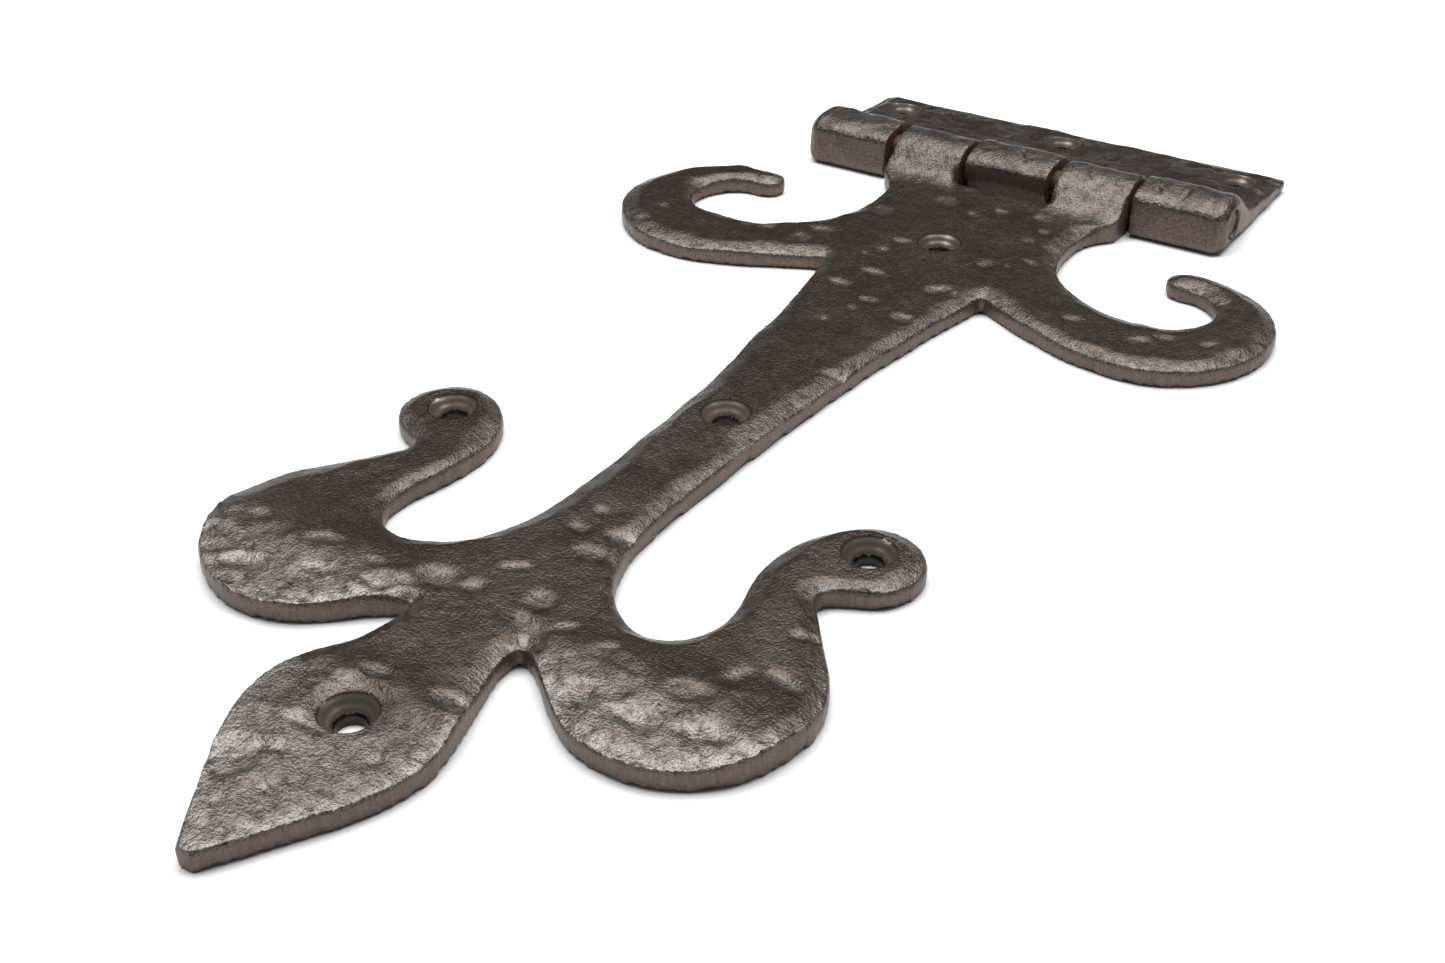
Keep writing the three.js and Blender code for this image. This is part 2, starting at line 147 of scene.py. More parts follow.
class HingeShape(PropertyGroup):
    """Sizes of the forged surface."""
    spacing: FloatProperty(
        name="Strap Spacing", description="Size of the strap's faces",
        default=0.75 * MM, unit="LENGTH")
    plate_spacing: FloatProperty(
        name="Plate Spacing", description="Size of the plate's faces",
        default=0.55 * MM, unit="LENGTH")
    band_width: FloatProperty(
        name="Edge Band Width", description="Mean width of the hammered slope round the edges",
        default=3.9 * MM, unit="LENGTH")
    band_drop: FloatProperty(
        name="Edge Band Drop", description="Mean height that the edge slope loses",
        default=1.5 * MM, unit="LENGTH")
    outline_wander: FloatProperty(
        name="Outline Wander", description="How far the hand-cut outline strays",
        default=0.30 * MM, unit="LENGTH")
    dent_depth: FloatProperty(
        name="Dent Depth", description="Depth of the scattered hammer dents",
        default=0.16 * MM, unit="LENGTH")
    dent_size: FloatProperty(
        name="Dent Size", description="Spacing of the scattered hammer dents",
        default=7.0 * MM, unit="LENGTH")
    ripple_depth: FloatProperty(
        name="Ripple Depth", description="Height of the fine scale on the skin",
        default=0.07 * MM, unit="LENGTH")
    ripple_size: FloatProperty(
        name="Ripple Size", description="Size of the fine scale on the skin",
        default=2.4 * MM, unit="LENGTH")
    seed: IntProperty(name="Seed", description="Changes the scatter of dents", default=3)


class HingeFinish(PropertyGroup):
    """Colours of the iron."""
    skin: FloatVectorProperty(
        name="Skin", description="Dark oiled skin of the iron", subtype="COLOR",
        default=(0.046, 0.031, 0.022))
    skin_pale: FloatVectorProperty(
        name="Pale Skin", description="Rubbed, greyer patches of the skin", subtype="COLOR",
        default=(0.074, 0.058, 0.047))
    cut: FloatVectorProperty(
        name="Cut Side", description="Upright sides left by cutting", subtype="COLOR",
        default=(0.150, 0.112, 0.092))
    turned: FloatVectorProperty(
        name="Turned Metal", description="Machined countersinks", subtype="COLOR",
        default=(0.190, 0.160, 0.135))
    rust: FloatVectorProperty(
        name="Rust", description="Thin rust in the joints", subtype="COLOR",
        default=(0.085, 0.034, 0.016))


class HingeStage(PropertyGroup):
    """Light and floor."""
    key_power: FloatProperty(
        name="Overhead Light", description="Power of the overhead soft light", default=26.0,
        unit="POWER")
    key_width: FloatProperty(
        name="Overhead Width", description="Width of the overhead soft light", default=1.7,
        unit="LENGTH")
    ambient: FloatProperty(
        name="Ambient", description="Strength of the even light from all round", default=0.13)
    floor_tone: FloatVectorProperty(
        name="Floor", description="Colour of the floor", subtype="COLOR",
        default=(0.90, 0.90, 0.90))


# ---- Node helpers ----------------------------------------------------------------------
def add(tree, kind, inputs=None, **settings):
    """A new node with its settings, and its inputs set or linked."""
    node = tree.nodes.new(kind)
    for key, value in settings.items():
        setattr(node, key, value)
    for key, value in (inputs or {}).items():
        if isinstance(value, bpy.types.NodeSocket):
            tree.links.new(value, node.inputs[key])
        else:
            node.inputs[key].default_value = value
    return node


def maths(tree, operation, a, b=0.0, c=0.0):
    """The result of a Math node."""
    return add(tree, "ShaderNodeMath", {0: a, 1: b, 2: c}, operation=operation).outputs[0]


def ramp(tree, value, low, high):
    """The value spread from 0 at low to 1 at high, smoothly."""
    return add(tree, "ShaderNodeMapRange", {"Value": value, "From Min": low, "From Max": high},
               interpolation_type="SMOOTHSTEP").outputs["Result"]


def blend_colour(tree, share, a, b):
    """Colour a going to colour b by a share."""
    node = add(tree, "ShaderNodeMix", {"Factor": share}, data_type="RGBA")
    for key, value in ((6, a), (7, b)):
        if isinstance(value, bpy.types.NodeSocket):
            tree.links.new(value, node.inputs[key])
        else:
            node.inputs[key].default_value = (*value[:3], 1.0)
    return node.outputs[2]


# ---- Mesh helpers ----------------------------------------------------------------------
def remeshed_copy(node, name, spacing):
    """A closed, slightly worn copy of a CAD node in even faces of one spacing."""
    bm = bmesh.new()
    bm.from_mesh(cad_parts[node].data)
    bmesh.ops.remove_doubles(bm, verts=bm.verts, dist=1e-6)
    mesh = bpy.data.meshes.new(name)
    bm.to_mesh(mesh)
    bm.free()
    obj = bpy.data.objects.new(name, mesh)
    bpy.context.scene.collection.objects.link(obj)
    modifier = obj.modifiers.new("even", "REMESH")
    modifier.mode, modifier.voxel_size = "VOXEL", spacing
    worn = obj.modifiers.new("worn", "SMOOTH")
    worn.factor, worn.iterations = 0.5, 3
    graph = bpy.context.evaluated_depsgraph_get()
    even = bpy.data.meshes.new_from_object(obj.evaluated_get(graph), depsgraph=graph)
    obj.modifiers.clear()
    bm = bmesh.new()
    bm.from_mesh(even)
    bmesh.ops.triangulate(bm, faces=bm.faces)
    bm.to_mesh(even)
    bm.free()
    obj.data = even
    return obj, mesh


def points_of(mesh):
    """The vertices in millimetres."""
    flat = np.zeros(len(mesh.vertices) * 3, np.float32)
    mesh.vertices.foreach_get("co", flat)
    return flat.reshape(-1, 3).astype(float) / MM


def put_points(mesh, points):
    """Moves the vertices to points given in millimetres."""
    mesh.vertices.foreach_set("co", (points * MM).astype(np.float32).ravel())
    mesh.update()


def faces_of(mesh):
    """Corner indices, normals and middles in millimetres of an all-triangle mesh."""
    corners = np.zeros(len(mesh.polygons) * 3, np.int32)
    mesh.polygons.foreach_get("vertices", corners)
    corners = corners.reshape(-1, 3)
    p = points_of(mesh)[corners]
    normals = np.cross(p[:, 1] - p[:, 0], p[:, 2] - p[:, 0])
    normals /= np.maximum(np.linalg.norm(normals, axis=1, keepdims=True), 1e-12)
    return corners, normals, p.mean(1)


def store(mesh, name, domain, values):
    """Writes a float attribute that the node trees and the material read."""
    attribute = mesh.attributes.new(name, "FLOAT", domain)
    attribute.data.foreach_set("value", np.asarray(values, np.float32))


def wander(points, size, seed):
    """Smooth noise from about -1 to 1, with features about size millimetres across."""
    s, lift = 1.0 / size, 17.3 * seed
    return np.array([noise.noise((x * s, y * s, z * s + lift)) for x, y, z in points])


def smooth(value, low, high):
    """0 at low and 1 at high, eased at both ends."""
    t = np.clip((value - low) / (high - low), 0, 1)
    return t * t * (3 - 2 * t)


def hole_distance(p, holes, shift=0.0):
    """Distance in plan from each point to the middle of the nearest hole."""
    return np.min([np.hypot(p[:, 0] - x - shift, p[:, 1] - y) for x, y in holes], axis=0)


def edge_distance(cad, p, holes, shift=0.0):
    """Distance in plan from each point to the outline of the flat back, holes left out."""
    corners, normals, _ = faces_of(cad)
    back = corners[normals[:, 2] < -0.99]
    sides = np.sort(np.concatenate([back[:, [0, 1]], back[:, [1, 2]], back[:, [2, 0]]]), axis=1)
    pairs, counts = np.unique(sides, axis=0, return_counts=True)
    ends = points_of(cad)[pairs[counts == 1]][:, :, :2]
    ends = ends[hole_distance(ends.mean(1), holes, shift) > 4]
    length = np.linalg.norm(ends[:, 1] - ends[:, 0], axis=1)
    along = [a + (b - a) * t for (a, b), l in zip(ends, length)
             for t in np.arange(0, 1, 0.25 / max(l, 0.25))]
    tree = kdtree.KDTree(len(along))
    for i, (x, y) in enumerate(along):
        tree.insert((x, y, 0), i)
    tree.balance()
    return np.array([tree.find((x, y, 0))[2] for x, y in p[:, :2]])


def turn_holes(p, holes, shift, rim, sink, depth):
    """Draws the points round each hole onto its true cone, bore and rims."""
    for x, y in holes:
        dx, dy = p[:, 0] - x - shift, p[:, 1] - y
        r = np.hypot(dx, dy)
        cone = SCREW_RADIUS + (p[:, 2] - rim + depth) / depth * (sink - SCREW_RADIUS)
        wall = np.maximum(cone, SCREW_RADIUS)
        on_wall = (np.abs(r - wall) < 0.5) & (p[:, 2] < rim - 0.3)
        on_rim = (np.abs(r - sink) < 0.55) & (p[:, 2] >= rim - 0.3)
        target = np.where(on_rim, sink, np.where(on_wall, wall, r))
        scale = target / np.maximum(r, 1e-6)
        p[:, 0], p[:, 1] = x + shift + dx * scale, y + dy * scale
        p[:, 2] = np.where(on_rim, rim, p[:, 2])


def dents(p, marks, shift=0.0):
    """How deep the listed hammer marks reach at each point."""
    depth = np.zeros(len(p))
    for x, y, long, wide, turn, deep in marks:
        c, s = math.cos(math.radians(turn)), math.sin(math.radians(turn))
        u, v = p[:, 0] - x - shift, p[:, 1] - y
        near = (np.abs(u) < long * 1.7) & (np.abs(v) < long * 1.7 + wide)
        a, b = (u[near] * c + v[near] * s) / long, (v[near] * c - u[near] * s) / wide
        ragged = 0.22 * wander(np.c_[p[near][:, :2], np.full(near.sum(), x)], 2.2, 5)
        depth[near] += deep * np.clip(1.15 - (a * a + b * b) - ragged, 0, 1) ** 0.8
    return depth


# ---- Materials -------------------------------------------------------------------------
def iron_material(name, finish):
    """Hammered, oiled iron with cut sides, turned countersinks and rust in its joints, a painted
    highlight over its rubbed patches and painted shade in its bores.
    """
    material = bpy.data.materials.new(name)
    material.use_nodes = True
    t = material.node_tree
    t.nodes.clear()
    place = add(t, "ShaderNodeTexCoord").outputs["Object"]

    def noise_at(scale, detail=3.0, roughness=0.55, vector=place):
        return add(t, "ShaderNodeTexNoise", {"Vector": vector, "Scale": scale, "Detail": detail,
                                             "Roughness": roughness}).outputs["Fac"]

    def attribute(key):
        return add(t, "ShaderNodeAttribute", attribute_name=key).outputs["Fac"]

    side, turned, rust, wear_and_highlight = (attribute(k) for k in ("side", "turned", "rust", "wear_and_highlight"))
    cloud = noise_at(70.0, 4.0, 0.6)
    mottle = noise_at(420.0, 4.0, 0.65)
    grain = noise_at(1500.0, 2.0, 0.7)
    upright = add(t, "ShaderNodeMapping", {"Vector": place, "Scale": (1.0, 1.0, 0.10)})
    streaks = noise_at(2300.0, 2.0, 0.6, upright.outputs[0])

    patch = maths(t, "MULTIPLY_ADD", mottle, 0.55, maths(t, "MULTIPLY", cloud, 0.75))
    body = blend_colour(t, ramp(t, patch, 0.52, 0.86), finish.skin, finish.skin_pale)
    # Pale where the iron is rubbed, plus a painted highlight where the strap's front slopes face
    # the light.
    worn = maths(t, "MULTIPLY", wear_and_highlight, ramp(t, mottle, 0.26, 0.62))
    body = blend_colour(t, maths(t, "MULTIPLY", worn, 0.85), body, WEAR_AND_HIGHLIGHT_TONE)
    fleck = ramp(t, grain, 0.60, 0.76)
    body = blend_colour(t, maths(t, "MULTIPLY", fleck, 0.42), body, FLECK_TONE)
    pit = ramp(t, grain, 0.42, 0.30)
    body = blend_colour(t, maths(t, "MULTIPLY", pit, 0.60), body, PIT_TONE)
    dark_cut = [0.78 * c for c in finish.cut]
    cut = blend_colour(t, ramp(t, streaks, 0.36, 0.66), dark_cut, finish.cut)
    body = blend_colour(t, side, body, cut)
    body = blend_colour(t, turned, body, finish.turned)
    patchy = ramp(t, maths(t, "ADD", maths(t, "MULTIPLY", noise_at(230.0, 4.0, 0.7), 0.8), rust),
                  0.62, 1.05)
    body = blend_colour(t, maths(t, "MULTIPLY", patchy, 0.85), body, finish.rust)
    lip = maths(t, "DIVIDE", maths(t, "SUBTRACT", attribute("radius"), RIM_LINE[0]), RIM_LINE[1])
    lip = maths(t, "EXPONENT", maths(t, "MULTIPLY", maths(t, "MULTIPLY", lip, lip), -1.0))
    body = blend_colour(t, maths(t, "MULTIPLY", lip, 0.8), body, RIM_TONE)
    # Painted shade: the bore walls go near-black.
    body = blend_colour(t, attribute("painted_bore_shade"), body, BORE_SHADE_TONE)

    rough = maths(t, "MULTIPLY_ADD", mottle, 0.16, 0.23)
    rough = maths(t, "MULTIPLY_ADD", side, 0.12, rough)
    rough = maths(t, "MULTIPLY_ADD", patchy, 0.25, rough)
    metal = maths(t, "SUBTRACT", 0.78, maths(t, "MULTIPLY", patchy, 0.50))

    ring = maths(t, "SINE", maths(t, "MULTIPLY", attribute("radius"), TURNING_PITCH))
    height = maths(t, "MULTIPLY", maths(t, "SUBTRACT", 1.0, turned),
                   maths(t, "MULTIPLY_ADD", grain, 1.1, maths(t, "MULTIPLY", mottle, 0.8)))
    height = maths(t, "MULTIPLY_ADD", maths(t, "MULTIPLY", streaks, side), 0.5, height)
    height = maths(t, "MULTIPLY_ADD", maths(t, "MULTIPLY", ring, turned), 0.10, height)
    bump = add(t, "ShaderNodeBump", {"Height": height, "Strength": 0.8, "Distance": 0.00030})
    shader = add(t, "ShaderNodeBsdfPrincipled", {
        "Base Color": body, "Metallic": metal, "Roughness": rough, "Normal": bump.outputs[0]})
    add(t, "ShaderNodeOutputMaterial", {"Surface": shader.outputs[0]})
    return material


def floor_material(finish):
    material = bpy.data.materials.new("pale_floor")
    material.use_nodes = True
    shader = material.node_tree.nodes["Principled BSDF"]
    shader.inputs["Base Color"].default_value = (*finish, 1.0)
    shader.inputs["Roughness"].default_value = 0.85
    shader.inputs["Specular IOR Level"].default_value = 0.2
    return material


# ---- Geometry Nodes --------------------------------------------------------------------
def socket(tree, name, kind, side="INPUT", default=None):
    made = tree.interface.new_socket(name, in_out=side, socket_type=kind)
    if default is not None:
        made.default_value = default
    return made


def hammered_skin_tree():
    """Scatters shallow dents and fine scale over a mesh, where its hammer attribute says."""
    tree = bpy.data.node_groups.get("hammered_skin")
    if tree:
        return tree
    tree = bpy.data.node_groups.new("hammered_skin", "GeometryNodeTree")
    socket(tree, "Geometry", "NodeSocketGeometry")
    socket(tree, "Geometry", "NodeSocketGeometry", "OUTPUT")
    socket(tree, "Dent Depth", "NodeSocketFloat", default=0.0002)
    socket(tree, "Dent Size", "NodeSocketFloat", default=0.007)
    socket(tree, "Ripple Depth", "NodeSocketFloat", default=0.0001)
    socket(tree, "Ripple Size", "NodeSocketFloat", default=0.002)
    socket(tree, "Seed", "NodeSocketInt", default=1)
    socket(tree, "Material", "NodeSocketMaterial")
    given = add(tree, "NodeGroupInput").outputs
    place = add(tree, "GeometryNodeInputPosition").outputs[0]
    jog = add(tree, "ShaderNodeTexNoise", {
        "Vector": place, "Scale": maths(tree, "DIVIDE", 1.4, given["Dent Size"]),
        "W": given["Seed"]}, noise_dimensions="4D").outputs["Color"]
    bent = add(tree, "ShaderNodeVectorMath", {
        0: jog, 1: (0.5, 0.5, 0.5)}, operation="SUBTRACT").outputs[0]
    bent = add(tree, "ShaderNodeVectorMath", {
        0: bent, "Scale": maths(tree, "MULTIPLY", given["Dent Size"], 1.1)},
        operation="SCALE").outputs[0]
    bent = add(tree, "ShaderNodeVectorMath", {0: place, 1: bent}, operation="ADD").outputs[0]
    cell = add(tree, "ShaderNodeTexVoronoi", {
        "Vector": bent, "Scale": maths(tree, "DIVIDE", 1.0, given["Dent Size"]),
        "W": given["Seed"], "Smoothness": 0.25},
        voronoi_dimensions="4D", feature="SMOOTH_F1").outputs["Distance"]
    bowl = maths(tree, "SUBTRACT", maths(tree, "MULTIPLY", cell, cell), 0.35)
    scale = add(tree, "ShaderNodeTexNoise", {
        "Vector": place, "Scale": maths(tree, "DIVIDE", 1.0, given["Ripple Size"]),
        "Detail": 2.0, "W": given["Seed"]}, noise_dimensions="4D").outputs["Fac"]
    lift = maths(tree, "MULTIPLY", bowl, maths(tree, "MULTIPLY", given["Dent Depth"], 2.0))
    lift = maths(tree, "MULTIPLY_ADD", maths(tree, "SUBTRACT", scale, 0.5),
                 maths(tree, "MULTIPLY", given["Ripple Depth"], 2.0), lift)
    mask = add(tree, "GeometryNodeInputNamedAttribute", {"Name": "hammer"},
               data_type="FLOAT").outputs["Attribute"]
    lift = maths(tree, "MULTIPLY", lift, mask)
    out = add(tree, "GeometryNodeInputNormal").outputs[0]
    offset = add(tree, "ShaderNodeVectorMath", {0: out, "Scale": lift},
                 operation="SCALE").outputs[0]
    moved = add(tree, "GeometryNodeSetPosition", {
        "Geometry": given["Geometry"], "Offset": offset}).outputs[0]
    real = add(tree, "GeometryNodeRealizeInstances", {"Geometry": moved}).outputs[0]
    done = add(tree, "GeometryNodeSetMaterial", {
        "Geometry": real, "Material": given["Material"]}).outputs[0]
    add(tree, "NodeGroupOutput", {"Geometry": done})
    return tree


def rivet_tree():
    """A round pin along X with hammered domes on its ends."""
    tree = bpy.data.node_groups.new("riveted_pin", "GeometryNodeTree")
    socket(tree, "Geometry", "NodeSocketGeometry", "OUTPUT")
    socket(tree, "Radius", "NodeSocketFloat", default=0.0039)
    socket(tree, "Length", "NodeSocketFloat", default=0.124)
    socket(tree, "Height", "NodeSocketFloat", default=0.0065)
    socket(tree, "Dome", "NodeSocketFloat", default=0.0007)
    socket(tree, "Seed", "NodeSocketInt", default=1)
    socket(tree, "Material", "NodeSocketMaterial")
    given = add(tree, "NodeGroupInput").outputs
    core = maths(tree, "SUBTRACT", given["Length"], maths(tree, "MULTIPLY", given["Dome"], 2.0))
    rod = add(tree, "GeometryNodeMeshCylinder", {
        "Vertices": 72, "Side Segments": 120, "Fill Segments": 9,
        "Radius": given["Radius"], "Depth": core}, fill_type="TRIANGLE_FAN").outputs["Mesh"]
    place = add(tree, "ShaderNodeSeparateXYZ",
                {0: add(tree, "GeometryNodeInputPosition").outputs[0]}).outputs
    share = maths(tree, "DIVIDE", maths(tree, "SQRT", maths(
        tree, "ADD", maths(tree, "MULTIPLY", place[0], place[0]),
        maths(tree, "MULTIPLY", place[1], place[1]))), given["Radius"])
    bulge = maths(tree, "SQRT", maths(tree, "MAXIMUM", maths(
        tree, "SUBTRACT", 1.0, maths(tree, "MULTIPLY", share, share)), 0.0))
    at_end = maths(tree, "GREATER_THAN", maths(tree, "ABSOLUTE", place[2]),
                   maths(tree, "MULTIPLY", core, 0.4999))
    beaten = add(tree, "ShaderNodeTexNoise", {
        "Vector": add(tree, "GeometryNodeInputPosition").outputs[0], "Scale": 620.0,
        "W": given["Seed"]}, noise_dimensions="4D").outputs["Fac"]
    lift = maths(tree, "MULTIPLY", given["Dome"], maths(
        tree, "MULTIPLY", bulge, maths(tree, "MULTIPLY_ADD", beaten, 0.7, 0.6)))
    lift = maths(tree, "MULTIPLY", maths(tree, "MULTIPLY", lift, at_end),
                 maths(tree, "SIGN", place[2]))
    offset = add(tree, "ShaderNodeCombineXYZ", {2: lift}).outputs[0]
    moved = add(tree, "GeometryNodeSetPosition", {"Geometry": rod, "Offset": offset}).outputs[0]
    laid = add(tree, "GeometryNodeTransform", {
        "Geometry": moved, "Rotation": (0.0, math.pi / 2, 0.0),
        "Translation": add(tree, "ShaderNodeCombineXYZ", {2: given["Height"]}).outputs[0],
    }).outputs[0]
    real = add(tree, "GeometryNodeRealizeInstances", {"Geometry": laid}).outputs[0]
    done = add(tree, "GeometryNodeSetMaterial", {
        "Geometry": real, "Material": given["Material"]}).outputs[0]
    add(tree, "NodeGroupOutput", {"Geometry": done})
    return tree


def apply_tree(obj, tree, values):
    """Runs a node tree on an object, and keeps the result as its plain mesh."""
    modifier = obj.modifiers.new("shape", "NODES")
    modifier.node_group = tree
    for item in tree.interface.items_tree:
        if item.item_type == "SOCKET" and item.in_out == "INPUT" and item.name in values:
            modifier[item.identifier] = values[item.name]
    graph = bpy.context.evaluated_depsgraph_get()
    mesh = bpy.data.meshes.new_from_object(
        obj.evaluated_get(graph), preserve_all_data_layers=True, depsgraph=graph)
    obj.modifiers.remove(modifier)
    obj.data = mesh
    return mesh


def finish_piece(obj, body, node, sharp=38):
    """Smooths the faces but for their corners, ties the piece to its body, and hides the CAD node
    that it stands in for.
    """
    obj.data.shade_smooth()
    obj.data.set_sharp_from_angle(angle=math.radians(sharp))
    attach(obj, body)
    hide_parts(node)


def paint(mesh, holes, shift, top, gaps):
    """Stores what the iron material reads, but for the wear and painted highlight: sides, holes
    with their painted bore shade, radius and rust.
    """
    p = points_of(mesh)
    _, normals, middle = faces_of(mesh)
    away = hole_distance(middle, holes, shift)
    turned = (away < SINK_RADIUS + 0.05) & (middle[:, 2] < top + 0.3) & (normals[:, 2] > -0.9)
    upright = 1 - smooth(np.abs(normals[:, 2]), 0.30, 0.62)
    barrel = middle[:, 1] > BLADE_START + 4
    side = np.where(turned, 0.0, upright * np.where(barrel & (middle[:, 2] > 9.5), 0.25, 1.0))
    store(mesh, "turned", "FACE", turned.astype(float))
    # Painted shade: the bore walls below each countersink are marked to be painted near-black.
    painted_bore_shade = (away < SCREW_RADIUS + 0.2) & (middle[:, 2] < top - SINK_DEPTH + 0.2)
    store(mesh, "painted_bore_shade", "FACE", painted_bore_shade * 0.9)
    store(mesh, "side", "FACE", side)
    store(mesh, "radius", "POINT", hole_distance(p, holes, shift) * MM)
    store(mesh, "rust", "POINT", gaps(p))


def skin_values(shape, material):
    return {"Dent Depth": shape.dent_depth, "Dent Size": shape.dent_size,
            "Ripple Depth": shape.ripple_depth, "Ripple Size": shape.ripple_size,
            "Seed": shape.seed, "Material": material}


# ---- Operators -------------------------------------------------------------------------
class HINGE_OT_forge_strap(Operator):
    """Forge the strap: scrolls, lobes and leaf with hammered edges and dents"""
    bl_idname = "strap_hinge.forge_strap"
    bl_label = "Forge Strap"

    def execute(self, context):
        shape, finish = context.scene.hinge_shape, context.scene.hinge_finish
        obj, cad = remeshed_copy("strap", "forged_strap", shape.spacing)
        mesh = obj.data
        p = points_of(mesh)
        turn_holes(p, STRAP_HOLES, STRAP_X, BLADE_TOP, SINK_RADIUS, SINK_DEPTH)
        blade = smooth(p[:, 1], BLADE_START + 1.5, BLADE_START - 4.0)
        edge = edge_distance(cad, p, STRAP_HOLES, STRAP_X)
        hole = hole_distance(p, STRAP_HOLES, STRAP_X)
        plan = p * (1, 1, 0)

        belly = smooth(p[:, 1], *LOBE_TOP) * smooth(np.abs(p[:, 0] - STRAP_X), *LOBE_SIDE)
        belly *= smooth(p[:, 1], *LOBE_END)
        leaf = smooth(p[:, 1], *LEAF_START)
        width = shape.band_width / MM * (1 + 0.62 * wander(plan, 22, 1) + 0.42 * wander(plan, 7, 2))
        width = np.clip(width, 1.6, 8.0)
        drop = shape.band_drop / MM * (1 + 0.45 * wander(plan, 16, 3))
        drop = drop * (1 - 0.75 * belly) * (1 - 0.70 * leaf)
        slope = np.clip(1 - edge / width, 0, 1)
        surface = BLADE_TOP - drop * slope ** 1.1
        surface -= belly * np.clip((-228 - p[:, 1]) * 0.080, 0, 1.7)
        surface += 1.3 * belly + 1.0 * leaf
        facet = (p[:, 0] + 2) * 0.055 + (LEAF_FACET_Y - p[:, 1]) * 0.035
        surface -= smooth(p[:, 1], -256, -266) * np.clip(facet, 0, 1.6)
        surface += 0.22 * wander(plan, 26, 4) * smooth(edge, 1, 6)
        rough = belly + 0.55 * leaf
        ridge = np.clip(1 - np.abs(wander(plan * (0.8, 1.6, 1), 8.5, 6)) * 5.0, 0, 1)
        surface += 0.38 * rough * ridge * smooth(wander(plan, 14, 7), -0.05, 0.30)
        surface -= (1.5 - 0.45 * rough) * dents(p, MARKS, STRAP_X)
        x, y, long, wide = LEAF_NICK
        surface -= 0.5 * np.clip(1 - np.hypot((p[:, 0] - x) / long, (p[:, 1] - y) / wide), 0, 1)
        seat = smooth(hole, SINK_RADIUS + 3.0, SINK_RADIUS + 0.3)
        surface = surface * (1 - seat) + BLADE_TOP * seat
        lip = np.where(edge < 0.35, surface, WALL_TOP)

        worked = (p[:, 2] > WALL_TOP - 0.02) & (hole > SINK_RADIUS - 0.05)
        z = np.where(worked, surface, p[:, 2] * np.where(hole > 4, lip / WALL_TOP, 1.0))
        in_sink = hole < SINK_RADIUS - 0.05
        z = np.where(in_sink, p[:, 2], z)
        p[:, 2] = p[:, 2] * (1 - blade) + z * blade

        stray = shape.outline_wander / MM * blade * smooth(hole, 6, 11)
        p[:, 0] += stray * (wander(plan, 13, 8) * 1.5 + 0.25 * wander(plan, 4, 9))
        p[:, 1] += stray * (wander(plan, 13, 10) * 1.5 + 0.25 * wander(plan, 4, 11))

        knuckle = smooth(p[:, 1], BLADE_START - 2, BLADE_START + 6)
        axis = np.hypot(p[:, 1], p[:, 2] - AXIS_HEIGHT)
        beaten = knuckle * smooth(p[:, 2], 4, 7) * smooth(axis, 4.2, 5.4)
        lump = 0.30 * wander(p, 7, 12) + 0.16 * wander(p, 3, 13)
        p[:, 2] += np.minimum(beaten * lump, 0.25)
        put_points(mesh, p)

        def gaps(q):
            near = smooth(np.hypot(q[:, 1], q[:, 2] - AXIS_HEIGHT), 11, 7)
            inner = np.abs(np.abs(q[:, 0] - STRAP_X) - 24.45) > 10.1
            sunk = [smooth(np.hypot(q[:, 0] - STRAP_X - x, q[:, 1] - y), 6.0, 4.5) * s
                    for x, y, s in ((0, -149, 0.42), (-52.2, -178.8, 0.34), (0, -268, 0.12))]
            ringed = np.hypot(q[:, 0] - RING_MARK[0], q[:, 1] - RING_MARK[1]) - RING_MARK[2]
            mark = 0.45 * np.exp(-(ringed / 0.55) ** 2) * (q[:, 2] > 4)
            return np.maximum.reduce([near * inner * 0.55, *sunk, mark])

        paint(mesh, STRAP_HOLES, STRAP_X, BLADE_TOP, gaps)
        # Paler on the edge slopes, in the hammer marks and over the knuckle, where the iron is
        # rubbed; the front slopes of the lobes and the leaf get a painted highlight.
        struck = np.clip(dents(p, MARKS, STRAP_X) * 1.8, 0, 0.38)
        painted_highlight = smooth(p[:, 1], -231, -240) * belly + 0.75 * smooth(p[:, 1], -258, -270)
        worn = slope ** 0.7 * 0.62 * blade + struck + 0.6 * painted_highlight
        worn = worn * smooth(p[:, 2], 2.0, 3.0) + 0.35 * knuckle
        store(mesh, "wear_and_highlight", "POINT", np.clip(worn, 0, 1))
        up = smooth(p[:, 2], 2.8, 4.2) * smooth(hole, SINK_RADIUS + 0.2, SINK_RADIUS + 2)
        store(mesh, "hammer", "POINT", up * smooth(axis, 4.2, 5.6) * (1 + 1.1 * belly + 0.7 * leaf))
        material = iron_material("hammered_iron_strap", finish)
        apply_tree(obj, hammered_skin_tree(), skin_values(shape, material))
        finish_piece(obj, "strap", "strap")
        return {"FINISHED"}


